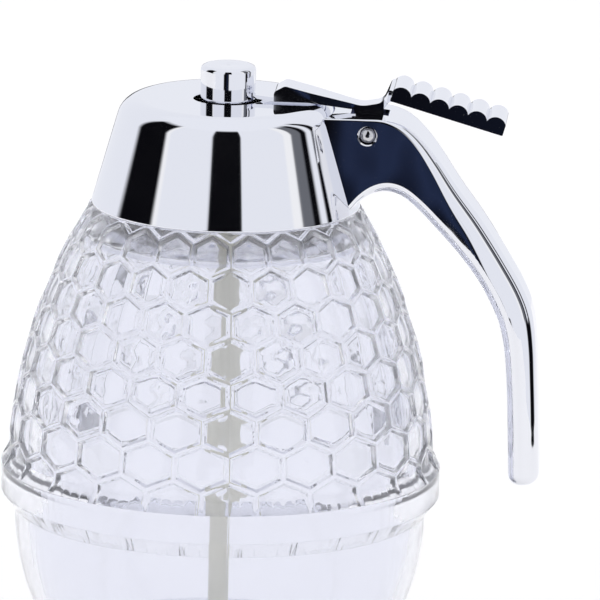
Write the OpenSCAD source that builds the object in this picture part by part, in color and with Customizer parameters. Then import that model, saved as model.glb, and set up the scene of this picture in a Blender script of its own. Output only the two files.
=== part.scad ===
// Honey dispenser: a clear honeycomb jar that stands in a cup, a plated screw lid with a
// handle, and a thumb lever that lifts a plunger off the outlet at the jar's bottom.
// Millimetres. Origin on the jar's axis at the stand's foot, +Z up, handle towards +X.

/* [Stand] */
// How far the stand's foot stands out from its waist
foot_out = 5; // [4:0.5:8]
// Height of the foot's edge
foot_h = 2.6; // [2:0.1:4]
// Bevel of the foot's upper edge
foot_bevel = 1; // [0.5:0.1:1.5]
// Thickness of the stand's floor
floor_t = 2.2; // [1.6:0.1:3]
// How much narrower the stand's waist is than the bowl, on each side
waist_in = 8.8; // [7.5:0.1:9.5]
// Height of the waist above the foot
waist_z = 14; // [11:0.5:18]
// Radius of the hollow curve of the stand's side
waist_arc_r = 45; // [40:1:60]
// Height of the stand's rim
rim_z = 32.5; // [29:0.5:34]
// Height of the seat under the rim
seat_h = 2.6; // [2:0.1:4]
// Wall of the stand
stand_wall = 2.2; // [1.8:0.1:2.8]
// Gap between the seat and the bowl
seat_gap = 0.3; // [0.2:0.05:0.5]

/* [Bowl] */
// How much narrower the bowl is than the dome, on each side
bowl_in = 1.6; // [1:0.1:2.5]
// Radius of the bowl's side curve
bowl_arc_r = 49.1; // [47.5:0.1:51]
// Wall of the bowl
bowl_wall = 2.5; // [2:0.1:3]
// Height of the outlet's tip above the foot plane
nozzle_clear = 8; // [6:0.5:11]
// Length of the outlet spout below the bowl
nozzle_len = 4.8; // [3.5:0.1:6]
// Outer radius of the outlet spout
nozzle_r = 5.4; // [5:0.1:6.5]
// Radius of the outlet's bore
outlet_r = 3; // [2.5:0.1:3.4]
// Depth of the valve seat's lower edge under the bowl
seat_drop = 0.5; // [0.3:0.1:1]
// Widening of the valve seat's radius per millimetre of height
seat_slope = 0.65; // [0.5:0.05:0.8]

/* [Ring] */
// How far the ring where the jar's halves meet stands out from the dome
ring_proud = 1.1; // [0.8:0.1:2]
// Height of the chamfer under the ring
ring_chamfer_h = 3.4; // [2.5:0.1:4.5]
// Height of the ring's straight face
ring_face_h = 5.4; // [5:0.1:7]
// Height of the shoulder above the ring's face
ring_shoulder_h = 2.4; // [1.5:0.1:3]
// Height of the bowl's part of the straight face
ring_split_h = 0.6; // [0.4:0.1:1]
// Height of the tongue that keys the halves together
tongue_h = 3; // [2:0.1:3.5]
// Radial gap round the tongue
tongue_gap = 0.05; // [0.03:0.01:0.1]

/* [Dome] */
// Outer radius of the dome at its widest
dome_r = 41.4; // [41:0.1:42]
// How far the dome stands out from the lid's rim where they meet
ledge_proud = 0.2; // [0:0.1:0.6]
// Height of the dome's widest level above the bowl's top
belly_rise = 5.8; // [4:0.1:8]
// Height of the ledge under the lid above the widest level
dome_h = 54.1; // [52:0.1:55]
// Wall of the dome
dome_wall = 2.7; // [2.2:0.1:3]
// Gap between the lid and the collar that its rim goes over
collar_gap = 0.6; // [0.4:0.1:1]
// Height of the collar
collar_h = 0.8; // [0.5:0.1:1.2]
// Height of the shoulder above the ledge
shoulder_h = 2.5; // [2:0.1:2.8]
// Outer radius of the neck
neck_r = 16.8; // [15.5:0.1:17]
// Wall of the neck
neck_wall = 2.5; // [2:0.1:3]
// Height of the neck above the shoulder
neck_h = 9.2; // [8.5:0.1:9.6]
// Height of the sloping roof inside the dome
roof_drop = 5.6; // [5:0.1:6.5]

/* [Honeycomb] */
// Cells in each row
cells_round = 24; // [20:1:28]
// Rows of cells
cell_rows = 9; // [7:1:9]
// Depth of a cell
cell_depth = 0.65; // [0.4:0.05:0.9]
// Width of the rib between two cells
rib_w = 1.5; // [1:0.1:2]
// Height of the top row's centre above the ledge
top_row_rise = 2; // [1:0.1:3]
// Drop from the top row to the next one
row_drop = 5.75; // [5.4:0.05:6]
// Growth of the drop from row to row
row_growth = 0.2; // [0.15:0.01:0.24]

/* [Lid] */
// Outer radius of the lid at its rim
lid_r = 26; // [25.8:0.1:27]
// Outer radius of the lid's top, without the rounding
lid_top_r = 20.2; // [20:0.1:21]
// Height of the lid
lid_h = 20.8; // [20.6:0.1:22]
// Wall of the lid's side
lid_wall = 1.6; // [1.4:0.1:1.8]
// Thickness of the lid's top
lid_top_t = 1.8; // [1.5:0.1:2.2]
// Radius of the rounding round the lid's top
lid_round = 4.5; // [3.5:0.1:5.5]
// Gap between the lid's rim and the ledge
rim_gap = 0.3; // [0.2:0.05:0.5]
// Gap round the knob in its well
well_gap = 1.3; // [0.9:0.1:1.6]

/* [Liner] */
// Room for the thread between the neck and the liner
thread_room = 1.5; // [1.2:0.1:1.6]
// Wall of the liner's sleeve
liner_wall = 1.3; // [1:0.1:1.4]
// Gap between the liner and the lid's cone
liner_fit = 0.03; // [0.02:0.01:0.08]
// Thickness of the liner's plate
plate_t = 1.8; // [1.5:0.1:2.2]
// Thickness of the liner's bottom flange
flange_t = 1.2; // [1:0.1:1.6]
// Gap between the shoulder and the liner
liner_gap = 0.6; // [0.4:0.1:1]
// Wall of the tube that guides the rod
guide_wall = 1.6; // [1.2:0.1:1.8]
// Length of the guide tube under the plate
guide_len = 3.6; // [2.5:0.1:5]
// Thickness of the seal ring
seal_t = 1.5; // [1:0.1:2]
// Gap between the seal and the neck
seal_gap = 0.1; // [0.05:0.05:0.2]
// Gap between the seal and the liner's sleeve
seal_side = 0.5; // [0.3:0.1:0.7]

/* [Plunger] */
// Radius of the rod
rod_r = 1.95; // [1.7:0.05:2.1]
// Running clearance round the rod
rod_gap = 0.05; // [0.03:0.01:0.1]
// Radius of the knob
knob_r = 5.3; // [5:0.1:5.6]
// Height of the knob above the lid's top
knob_up = 6.5; // [5.5:0.1:8]
// Depth of the knob below the lid's top
knob_down = 4; // [3.5:0.1:4.2]
// Rounding of the knob's top edge
knob_round = 0.5; // [0.3:0.1:0.8]
// Thickness of the knob over the rod's end
knob_head = 2.5; // [2:0.1:3]
// Lift of the plunger when the lever is pressed home
plunger_lift = 3.1; // [2.5:0.1:3.3]
// How far the retainer's flange stands out from the spring
retainer_out = 0.6; // [0.4:0.1:1]
// Thickness of the retainer's flange
retainer_t = 1.2; // [1:0.1:1.6]
// How far the rod's collar under the retainer stands out
rod_collar_out = 1.05; // [0.8:0.05:1.4]
// Thickness of the rod's collar
rod_collar_t = 1.2; // [1:0.1:1.6]
// Radius of the stopper
stopper_r = 5.7; // [5.5:0.1:6]
// Thickness of the stopper under the rod's end
stopper_tip_t = 1.9; // [1.5:0.1:2.5]
// Height of the stopper above its widest level
stopper_neck_h = 3; // [2:0.1:4]
// Rounding of the stopper's edges
stopper_edge = 0.4; // [0.2:0.1:0.6]
// Gap between the stopper and its seat
stopper_gap = 0.25; // [0.2:0.05:0.35]

/* [Spring] */
// Length of the spring between its seats
spring_len = 10.8; // [10:0.1:11.2]
// Gap between the spring and the guide tube
coil_gap = 0.6; // [0.5:0.1:0.8]
// Diameter of the spring's wire
wire_d = 0.8; // [0.6:0.05:0.9]
// Turns of the spring
spring_turns = 5; // [4:1:6]

/* [Handle] */
// Width of the handle at the lid
handle_w = 16.2; // [15.6:0.1:17]
// Width of the handle at the end of its grip
grip_w = 14; // [12:0.1:15]
// Depth of the handle's flat top below the lid's top
handle_drop = 1.7; // [1.5:0.05:2]
// Radius of the grip's rounded end
grip_end_r = 2.6; // [1.5:0.1:2.7]
// Distance of the handle's screws from the middle
screw_y = 4.8; // [4.7:0.1:5.2]
// Depth of the handle's screws below the lid's top
screw_drop = 12.6; // [12:0.1:13]
// Radius of a screw
screw_r = 1.25; // [1:0.05:1.4]
// Radius of a screw's head
screw_head_r = 2.2; // [2:0.1:2.4]
// Thickness of a screw's head
screw_head_t = 1.1; // [0.9:0.1:1.2]
// Gap round a screw's head
screw_gap = 0.2; // [0.1:0.05:0.3]
// Depth of the flats that the screws' heads bear on
screw_flat = 0.35; // [0.2:0.05:0.5]
// Length of a screw under its head
screw_len = 9; // [7:0.5:11]

/* [Lever] */
// Width of the lever's arm at its front
arm_w = 7; // [6:0.1:7.4]
// Width of the lever over the pivot
lug_w = 4.8; // [4:0.1:6]
// Gap between the lever's lug and each side of its slot
lug_gap = 0.3; // [0.2:0.05:0.4]
// Radius of the lug round the pivot
lug_r = 2.7; // [2.5:0.1:3]
// Width of the thumb pad
pad_w = 11; // [9:0.1:13]
// Distance of the pivot outwards from the lid's rim
pivot_out = 1.5; // [1:0.1:2]
// Depth of the pivot below the lid's top
pivot_drop = 4.9; // [4.6:0.1:5.2]
// Radius of the pivot pin
pin_r = 1.6; // [1.3:0.05:1.7]
// Running clearance round the pin
pin_gap = 0.05; // [0.03:0.01:0.1]
// How far the pin's ends lie under the handle's sides
pin_sink = 0.2; // [0.1:0.05:0.4]
// Gap between the knob and the front of the arm
arm_front = 3.75; // [3.4:0.05:4.2]
// Height of the arm's front above the lid's top
arm_h = 3.4; // [2.8:0.1:4]
// Gap between the arm and the lid's top
arm_gap = 0.3; // [0.2:0.05:0.5]
// Thickness of the arm over the pivot
waist_t = 0.8; // [0.7:0.05:1]
// Depth of the tongue in the knob
tongue_in = 2.2; // [1.8:0.1:2.4]
// Thickness of the tongue in the knob
tongue_t = 0.6; // [0.5:0.05:0.7]
// Length of the arm's full width
arm_len = 7; // [5:0.5:9]
// Rounding of the arm's front
nose_r = 1.8; // [1.2:0.1:2]
// Width of the tongue's tip
tip_w = 3.2; // [2.4:0.1:4]
// Height of the tongue's underside in the knob above the lid's top
tongue_up = 0.7; // [0.6:0.05:0.8]
// Clearance of the tongue in the knob's pocket, upwards and sideways
pocket_gap = 0.3; // [0.25:0.05:0.4]
// Clearance of the tongue downwards, where it tilts
pocket_drop = 0.6; // [0.5:0.05:0.7]
// Distance of the pad's front edge outwards from the pivot
pad_out = 4; // [3.8:0.1:4.5]
// Rise of the pad's front edge above the lid's top
pad_rise = 1.67; // [1.5:0.05:2]
// Length of the thumb pad
pad_len = 22.6; // [20:0.1:24]
// Thickness of the pad between the ridges
pad_t = 1.95; // [1.6:0.05:2.4]
// Bevel of the pad's front corners
pad_corner = 0.8; // [0.5:0.1:1.2]
// Slope of the pad in degrees
pad_slope = 15.7; // [12:0.1:17]
// Ridges on the pad
ridge_n = 6; // [5:1:7]
// Distance from ridge to ridge
ridge_pitch = 3.8; // [3.4:0.05:4]
// Radius of a ridge
ridge_r = 2.04; // [1.9:0.02:2.2]
// Height of the ridges above the pad's underside
ridge_h = 3.27; // [2.8:0.05:3.6]

/* [Hidden] */
$fn = 96;
over = 1;        // how far a cutting shape runs past the face that it cuts
far = 100;       // larger than the object, for cutting shapes

// Radii, from the dome and the lid inwards
ring_r = dome_r + ring_proud;
bowl_r = dome_r - bowl_in;
waist_r = bowl_r - waist_in;
foot_r = waist_r + foot_out;
ledge_r = lid_r + ledge_proud;
dome_arc_r = (pow(dome_r - ledge_r, 2) + pow(dome_h, 2)) / (dome_r - ledge_r) / 2;
well_r = knob_r + well_gap;
liner_bore_r = neck_r + thread_room;
liner_r = liner_bore_r + liner_wall;
guide_r = rod_r + rod_gap + guide_wall;
coil_r = guide_r + coil_gap + wire_d / 2;
retainer_r = coil_r + wire_d / 2 + retainer_out;
rod_collar_r = rod_r + rod_collar_out;
pivot_x = lid_r + pivot_out;
tongue_r = (bowl_r - bowl_wall + ring_r) / 2;   // of the key between the jar's halves
tip_x = knob_r - tongue_in;                     // of the lever's tongue in the knob
front_x = knob_r + arm_front;
pad_x = pivot_x + pad_out;
// Half the width of the lever's tongue where it leaves the knob
tongue_half = tip_w / 2 + (arm_w - tip_w) / 2 * tongue_in / (tongue_in + arm_front);
// How far the lever turns, for the plunger's lift
press_angle = asin(plunger_lift / (pivot_x - tip_x));

// Levels, from the foot plane up
bowl_pole_z = nozzle_clear + nozzle_len;
bowl_depth = sqrt(pow(bowl_arc_r, 2) - pow(bowl_arc_r - bowl_r, 2));
bowl_top_z = bowl_pole_z + bowl_depth;
ring_low_z = bowl_top_z + ring_chamfer_h;
split_z = ring_low_z + ring_split_h;
ring_top_z = ring_low_z + ring_face_h;
belly_z = bowl_top_z + belly_rise;
ledge_z = belly_z + dome_h;
shoulder_z = ledge_z + shoulder_h;
neck_top_z = shoulder_z + neck_h;
lid_rim_z = ledge_z + rim_gap;
lid_top_z = lid_rim_z + lid_h;
lid_under_z = lid_top_z - lid_top_t;
plate_z = neck_top_z + seal_gap + seal_t;
liner_low_z = shoulder_z + liner_gap;
retainer_z = plate_z - spring_len - retainer_t;
seat_z = bowl_pole_z - seat_drop;
knob_top_z = lid_top_z + knob_up;
rod_top_z = knob_top_z - knob_head;
rod_low_z = seat_z + stopper_tip_t;
spring_low_z = retainer_z + retainer_t;
roof_z = shoulder_z - dome_wall;
roof_low_z = roof_z - roof_drop;
roof_r = neck_r + dome_wall;

// Radius of the lid's outside and of its inside at height z
lid_taper = (lid_r - lid_top_r) / lid_h;
lid_wall_x = lid_wall * sqrt(1 + pow(lid_taper, 2)); // the wall measured level
function lid_r_at(z) = lid_top_r + (lid_top_z - z) * lid_taper;
function lid_bore_at(z) = lid_r_at(z) - lid_wall_x;
collar_r = lid_bore_at(ledge_z + collar_h) - collar_gap;

// Radius of a shell at height z, whose side curve has radius arc and is r wide at level z0
function shell_r(z, r, arc, z0) = r - arc + sqrt(pow(arc, 2) - pow(z - z0, 2));
function dome_r_at(z, inset = 0) = shell_r(z, dome_r - inset, dome_arc_r - inset, belly_z);
function bowl_r_at(z, inset = 0) = shell_r(z, bowl_r - inset, bowl_arc_r - inset, bowl_top_z);

// ---------- profiles ----------

// Everything inside a side curve between two levels
module inside_curve(r, arc, z0, low, high) {
    intersection() {
        translate([r - arc, z0]) circle(arc, $fn = 360);
        translate([0, low]) square([far, high - low]);
    }
}

module stand() {
    curve_x = waist_r + waist_arc_r;
    color([0.93, 0.95, 0.97, 0.5])
    rotate_extrude()
    difference() {
        union() {
            difference() {
                square([waist_r + waist_arc_r / 2, rim_z]);
                translate([curve_x, waist_z]) circle(waist_arc_r);
            }
            polygon([[0, 0], [foot_r, 0], [foot_r, foot_h - foot_bevel],
                     [foot_r - foot_bevel, foot_h], [0, foot_h]]);
        }
        // the hollow under the seat
        difference() {
            translate([0, floor_t]) square([far, rim_z - seat_h - floor_t]);
            translate([curve_x, waist_z]) circle(waist_arc_r + stand_wall);
        }
        // the seat follows the bowl
        translate([bowl_r - bowl_arc_r, bowl_top_z]) intersection() {
            circle(bowl_arc_r + seat_gap, $fn = 360);
            translate([bowl_arc_r - bowl_r, floor_t - bowl_top_z]) square([far, far]);
        }
    }
}

module bowl_shell() {
    color([0.93, 0.95, 0.98, 0.4])
    rotate_extrude()
    difference() {
        union() {
            inside_curve(bowl_r, bowl_arc_r, bowl_top_z, 0, bowl_top_z);
            translate([0, nozzle_clear]) square([nozzle_r, nozzle_len + bowl_wall]);
            polygon([[0, bowl_top_z], [bowl_r, bowl_top_z], [ring_r, ring_low_z],
                     [ring_r, split_z], [tongue_r, split_z], [tongue_r, split_z + tongue_h],
                     [0, split_z + tongue_h]]);
        }
        inside_curve(bowl_r - bowl_wall, bowl_arc_r - bowl_wall, bowl_top_z, 0, bowl_top_z);
        translate([0, bowl_top_z]) square([bowl_r - bowl_wall, far]);
        // the outlet and the cone that the stopper closes
        polygon([[0, 0], [outlet_r, 0], [outlet_r, seat_z],
                 [outlet_r + seat_slope * stopper_r, seat_z + stopper_r],
                 [0, seat_z + stopper_r]]);
    }
}

// The dome's inside: the side curve, a sloping roof, and the neck's bore
module dome_inside() {
    inside_curve(dome_r - dome_wall, dome_arc_r - dome_wall, belly_z, split_z - over, roof_low_z);
    polygon([[0, roof_low_z], [dome_r_at(roof_low_z, dome_wall), roof_low_z],
             [roof_r, roof_z], [0, roof_z]]);
    translate([0, roof_low_z]) square([neck_r - neck_wall, far]);
    translate([0, split_z - over])
        square([tongue_r + tongue_gap, over + tongue_h + tongue_gap]);
}

module dome_shell() {
    color([0.93, 0.95, 0.98, 0.4]) {
        difference() {
            rotate_extrude() difference() {
                inside_curve(dome_r, dome_arc_r, belly_z, ring_top_z - over, ledge_z);
                dome_inside();
            }
            honeycomb();
        }
        rotate_extrude() difference() {
            polygon([[0, split_z], [ring_r, split_z], [ring_r, ring_top_z],
                     [dome_r_at(ring_top_z + ring_shoulder_h) - cell_depth,
                      ring_top_z + ring_shoulder_h + cell_depth],
                     [0, ring_top_z + ring_shoulder_h + cell_depth]]);
            dome_inside();
        }
        rotate_extrude() difference() {
            polygon([[0, roof_low_z], [collar_r - dome_wall, roof_low_z],
                     [collar_r, ledge_z - over], [collar_r, ledge_z + collar_h],
                     [collar_r - shoulder_h + collar_h, shoulder_z], [neck_r, shoulder_z],
                     [neck_r, neck_top_z], [0, neck_top_z]]);
            dome_inside();
        }
    }
}

// One cell: a hexagon standing on its point, drawn flat. The row is pitch wide a cell and
// the rows lie gap apart; lean is how fast the row narrows upwards
function cell_points(pitch, gap, lean) =
    let (half = pitch / 2, tip = gap * 2 / 3, side = gap / 3,
         slant = norm([tip - side, half]),
         x = half - rib_w / 2,
         y_tip = tip - rib_w / 2 * slant / half,
         y_side = y_tip - (tip - side) * x / half)
    [for (p = [[0, y_tip], [x, y_side], [x, -y_side], [0, -y_tip], [-x, -y_side], [-x, y_side]])
        [p[0] * (1 - p[1] * lean), p[1]]];

function row_z(k) = ledge_z + top_row_rise - row_drop * k - row_growth * k * (k - 1) / 2;

module honeycomb() {
    step = 360 / cells_round;
    for (k = [0 : cell_rows - 1]) {
        r = dome_r_at(row_z(k));
        tilt = asin((row_z(k) - belly_z) / dome_arc_r);
        gap = (row_z(k - 1) - row_z(k + 1)) / 2 / cos(tilt);
        points = cell_points(2 * PI * r / cells_round, gap, sin(tilt) / r);
        for (i = [0 : cells_round - 1])
            rotate(-90 + step * (i + (k % 2 == 0 ? 0.5 : 0)))
                translate([r, 0, row_z(k)])
                rotate([0, -tilt, 0]) rotate([90, 0, 90])
                translate([0, 0, -cell_depth])
                linear_extrude(cell_depth + over) polygon(points);
    }
}

// ---------- lid ----------

// The lid's outside, filled, with its rounded top edge; drop carries the cone on downwards
module lid_form(drop = 0) {
    low_z = lid_rim_z - drop;
    slope = atan(lid_taper);
    reach = lid_round * tan((90 - slope) / 2);
    rotate_extrude() {
        polygon([[0, low_z], [lid_r_at(low_z), low_z],
                 [lid_top_r + reach * sin(slope), lid_top_z - reach * cos(slope)],
                 [lid_top_r - reach, lid_top_z], [0, lid_top_z]]);
        translate([lid_top_r - reach, lid_top_z - lid_round]) circle(lid_round);
    }
}

// The two screws' places, each looking outwards along X
module at_screws() {
    for (side = [-1, 1])
        translate([0, side * screw_y, lid_top_z - screw_drop]) rotate([0, 90, 0]) children();
}
// The screws' heads bear on flats cut into the lid's inside
screw_seat_x = sqrt(pow(lid_bore_at(lid_top_z - screw_drop), 2) - pow(screw_y, 2))
               - screw_flat;

module lid_shell() {
    color([0.80, 0.81, 0.83])
    difference() {
        lid_form();
        rotate_extrude()
            polygon([[0, lid_rim_z - over], [lid_bore_at(lid_rim_z - over), lid_rim_z - over],
                     [lid_bore_at(lid_under_z), lid_under_z], [0, lid_under_z]]);
        cylinder(r = well_r, h = 2 * far);
        at_screws() cylinder(r = screw_r, h = far);
        at_screws() translate([0, 0, screw_seat_x - lid_top_r / 2])
            cylinder(r = screw_head_r + screw_gap, h = lid_top_r / 2);
    }
}

module handle_screws() {
    color([0.62, 0.62, 0.64])
    at_screws() {
        translate([0, 0, screw_seat_x - screw_head_t])
            cylinder(r = screw_head_r, h = screw_head_t);
        translate([0, 0, screw_seat_x - screw_head_t / 2])
            cylinder(r = screw_r, h = screw_len + screw_head_t / 2);
    }
}

// The liner fills the lid's cone at its plate and at its flange
module threaded_liner() {
    plate_top_z = plate_z + plate_t;
    flange_z = liner_low_z + flange_t;
    function fit_r(z) = lid_bore_at(z) - liner_fit;
    color([0.93, 0.92, 0.88])
    rotate_extrude() difference() {
        polygon([[0, liner_low_z], [fit_r(liner_low_z), liner_low_z],
                 [fit_r(flange_z), flange_z], [liner_r, flange_z],
                 [liner_r, plate_z], [fit_r(plate_z), plate_z],
                 [fit_r(plate_top_z), plate_top_z], [0, plate_top_z]]);
        square([rod_r + rod_gap, far * 2]);
        difference() {
            square([liner_bore_r, plate_z]);
            translate([0, plate_z - guide_len]) square([guide_r, guide_len]);
        }
    }
}

module lid_seal() {
    color([0.75, 0.75, 0.76])
    translate([0, 0, plate_z - seal_t]) difference() {
        cylinder(r = liner_bore_r - seal_side, h = seal_t);
        translate([0, 0, -over]) cylinder(r = neck_r - neck_wall, h = seal_t + 2 * over);
    }
}

// ---------- handle ----------

// Rows across the handle from the lid to the end of its grip: the outer edge's distance
// outwards from the lid's rim and depth below the lid's top, the same of the inner edge, and
// the rounding of the outer and of the inner edges. Curves run smoothly from row to row
handle_rows = [
    [-10.0, handle_drop, -5.0, 24.5, 0.4, 1.6],
    [-4.5, handle_drop, -1.8, 20.4, 0.4, 1.6],
    [0.5, handle_drop, 0.4, 17.9, 0.4, 1.8],
    [4.6, handle_drop + 0.1, 2.8, 16.4, 0.5, 2.0],
    [8.4, 2.9, 5.4, 16.0, 1.0, 2.2],
    [11.8, 5.6, 8.2, 16.8, 1.4, 2.2],
    [15.2, 9.7, 11.3, 19.2, 1.7, 2.2],
    [19.2, 15.5, 14.9, 22.9, 1.9, 2.2],
    [24.0, 21.9, 19.5, 28.0, 2.2, 2.4],
    [28.8, 29.4, 23.4, 33.2, 2.5, 2.6],
    [32.2, 35.3, 26.2, 38.4, 2.7, 2.7],
    [34.0, 40.3, 27.7, 42.2, 2.8, 2.8],
    [34.8, 46.5, 28.7, 47.2, 2.9, 2.9],
    [35.2, 54.0, 29.3, 54.2, 2.9, 2.9],
    [35.6, 63.0, 29.7, 63.0, 2.9, 2.9],
    [35.9, 71.2, 30.0, 71.2, 2.9, 2.9]];
handle_steps = 2;    // stations from row to row
corner_steps = 5;    // facets round each edge
end_steps = 5;       // stations round the grip's end

function smooth_row(t) =
    let (i = min(floor(t), len(handle_rows) - 2), f = t - i,
         a = handle_rows[max(i - 1, 0)], b = handle_rows[i], c = handle_rows[i + 1],
         d = handle_rows[min(i + 2, len(handle_rows) - 1)])
    b + f / 2 * (c - a + f * (2 * a - 5 * b + 4 * c - d + f * (3 * (b - c) + d - a)));

// One section across the handle: a rectangle with rounded corners, inset by shrink and
// moved on by ahead, which round the grip's end
function handle_section(t, shrink = 0, ahead = 0) =
    let (row = smooth_row(t),
         outer = [lid_r + row[0], lid_top_z - row[1]],
         inner = [lid_r + row[2], lid_top_z - row[3]],
         across = (outer - inner) / norm(outer - inner), along = [across[1], -across[0]],
         half_t = norm(outer - inner) / 2 - shrink, middle = (outer + inner) / 2 + along * ahead,
         share = t / (len(handle_rows) - 1),
         half_w = (handle_w + (grip_w - handle_w) * share) / 2 - shrink)
    [for (corner = [0 : 3])
        let (up = corner < 2 ? 1 : -1, side = corner == 0 || corner == 3 ? 1 : -1,
             r = min(row[corner < 2 ? 4 : 5], half_t))
        for (i = [0 : corner_steps])
            let (turn = 90 * (corner + i / corner_steps),
                 y = side * (half_w - r) + r * cos(turn),
                 s = up * (half_t - r) + r * sin(turn),
                 place = middle + across * s)
            [place[0], y, place[1]]];

// Closed skin over a list of rings, each with as many points
module loft(rings) {
    n = len(rings[0]);
    last = len(rings) - 1;
    polyhedron(
        points = [for (ring = rings) each ring],
        faces = concat(
            [for (j = [0 : last - 1]) for (i = [0 : n - 1])
                each [[j * n + i, j * n + (i + 1) % n, (j + 1) * n + i],
                      [j * n + (i + 1) % n, (j + 1) * n + (i + 1) % n, (j + 1) * n + i]]],
            [[for (i = [n - 1 : -1 : 0]) i], [for (i = [0 : n - 1]) last * n + i]]));
}

module at_pivot() {
    translate([pivot_x, 0, lid_top_z - pivot_drop]) rotate([90, 0, 0]) children();
}

module handle() {
    steps = (len(handle_rows) - 1) * handle_steps;
    end_t = len(handle_rows) - 1;
    slot_r = lug_r + lug_gap + pivot_drop * sin(press_angle);
    color([0.80, 0.81, 0.83])
    difference() {
        loft(concat([for (i = [0 : steps]) handle_section(i / handle_steps)],
                    [for (i = [1 : end_steps])
                        let (turn = 90 * i / end_steps)
                        handle_section(end_t, grip_end_r * (1 - cos(turn)),
                                       grip_end_r * sin(turn))]));
        lid_form(lid_round);
        at_pivot() cylinder(r = pin_r, h = 2 * handle_w, center = true);
        at_pivot() cylinder(r = slot_r, h = lug_w + 2 * lug_gap, center = true);
        translate([pivot_x - slot_r, -lug_w / 2 - lug_gap, lid_top_z - pivot_drop])
            cube([2 * slot_r, lug_w + 2 * lug_gap, lid_h]);
        at_screws() cylinder(r = screw_r, h = screw_seat_x + screw_len);
    }
}

module pivot_pin() {
    color([0.70, 0.70, 0.72])
    at_pivot() cylinder(r = pin_r, h = handle_w - 2 * pin_sink, center = true);
}

// ---------- lever ----------

// The lever's side view: heights over the lid's top
module lever_side() {
    waist_low = -handle_drop / 2;    // halfway down to the handle
    waist_top = waist_low + waist_t;
    difference() {
        union() {
            polygon(concat(
                [[tip_x, tongue_up + tongue_t], [tip_x, tongue_up], [front_x, arm_gap],
                 [lid_top_r - lid_round, arm_gap], [pivot_x - lug_r - over, waist_low],
                 [pivot_x + over, waist_low], [pad_x, pad_rise],
                 [pad_x + over, pad_rise], [pad_x + over, pad_rise + pad_t],
                 [pad_x, pad_rise + pad_t], [pivot_x + lug_r - waist_t, waist_top + waist_t],
                 [pivot_x + waist_t, waist_top], [pivot_x - lug_r + waist_t, waist_top]],
                [for (turn = [90 : -15 : 0])
                    [front_x + nose_r * (1 - cos(turn)), arm_h - nose_r * (1 - sin(turn))]],
                [[front_x, tongue_up + tongue_t]]));
            translate([pivot_x, -pivot_drop]) circle(lug_r);
            translate([pivot_x - lug_r, -pivot_drop])
                square([2 * lug_r, pivot_drop + (waist_low + waist_top) / 2]);
        }
        translate([pivot_x, -pivot_drop]) circle(pin_r + pin_gap);
    }
}

// The lever from above, without the pad
module lever_plan() {
    half = [[tip_x, tip_w / 2], [front_x, arm_w / 2], [front_x + arm_len, arm_w / 2],
            [pivot_x - lug_r - over, lug_w / 2], [pivot_x + lug_r, lug_w / 2],
            [pad_x - pad_corner / 2, pad_w / 2 - pad_corner],
            [pad_x + pad_corner / 2, pad_w / 2], [pad_x + over, pad_w / 2]];
    polygon(concat(half, [for (i = [len(half) - 1 : -1 : 0]) [half[i][0], -half[i][1]]]));
}

module lever() {
    color([0.80, 0.81, 0.83]) {
        intersection() {
            translate([0, pad_w / 2, lid_top_z]) rotate([90, 0, 0])
                linear_extrude(pad_w) lever_side();
            translate([0, 0, lid_top_z - lid_h]) linear_extrude(2 * lid_h) lever_plan();
        }
        translate([pad_x, pad_w / 2, lid_top_z + pad_rise]) rotate([0, pad_slope, 0])
            rotate([90, 0, 0]) linear_extrude(pad_w) {
                square([pad_len, pad_t]);
                intersection() {
                    square([pad_len, ridge_h]);
                    for (i = [0 : ridge_n - 1])
                        translate([pad_len / 2 + (i - (ridge_n - 1) / 2) * ridge_pitch,
                                   ridge_h - ridge_r]) circle(ridge_r);
                }
            }
    }
}

// ---------- plunger ----------

module knob() {
    knob_low_z = lid_top_z - knob_down;
    color([0.80, 0.81, 0.83])
    difference() {
        rotate_extrude() difference() {
            union() {
                polygon([[0, knob_low_z], [knob_r, knob_low_z],
                         [knob_r, knob_top_z - knob_round],
                         [knob_r - knob_round, knob_top_z], [0, knob_top_z]]);
                translate([knob_r - knob_round, knob_top_z - knob_round]) circle(knob_round);
            }
            square([rod_r, rod_top_z]);
        }
        // the pocket for the lever's tongue
        translate([tip_x - pocket_gap, -tongue_half - pocket_gap,
                   lid_top_z + tongue_up - pocket_drop])
            cube([knob_r, 2 * (tongue_half + pocket_gap),
                  tongue_t + pocket_drop + pocket_gap]);
    }
}

module plunger_rod() {
    color([0.87, 0.87, 0.80]) {
        translate([0, 0, rod_low_z]) cylinder(r = rod_r, h = rod_top_z - rod_low_z);
        translate([0, 0, retainer_z - rod_collar_t])
            cylinder(r = rod_collar_r, h = rod_collar_t);
    }
}

module spring_retainer() {
    color([0.87, 0.87, 0.80])
    translate([0, 0, retainer_z]) difference() {
        cylinder(r = retainer_r, h = retainer_t);
        translate([0, 0, -over]) cylinder(r = rod_r, h = retainer_t + 2 * over);
    }
}

// The stopper's cone runs alongside the seat
module stopper() {
    side_gap = stopper_gap * sqrt(1 + pow(seat_slope, 2));
    tip_r = outlet_r - side_gap;
    rim_z = seat_z + (stopper_r - tip_r) / seat_slope;
    color([0.80, 0.80, 0.78])
    rotate_extrude() difference() {
        polygon([[0, seat_z], [tip_r, seat_z], [stopper_r, rim_z],
                 [stopper_r - stopper_edge, rim_z + stopper_edge],
                 [rod_collar_r, rim_z + stopper_neck_h / 2],
                 [rod_collar_r - stopper_edge, rim_z + stopper_neck_h],
                 [0, rim_z + stopper_neck_h]]);
        translate([0, rod_low_z]) square([rod_r, far]);
    }
}

// ---------- spring ----------

spring_sides = 6;
spring_rings = 8;    // rings a turn

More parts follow.
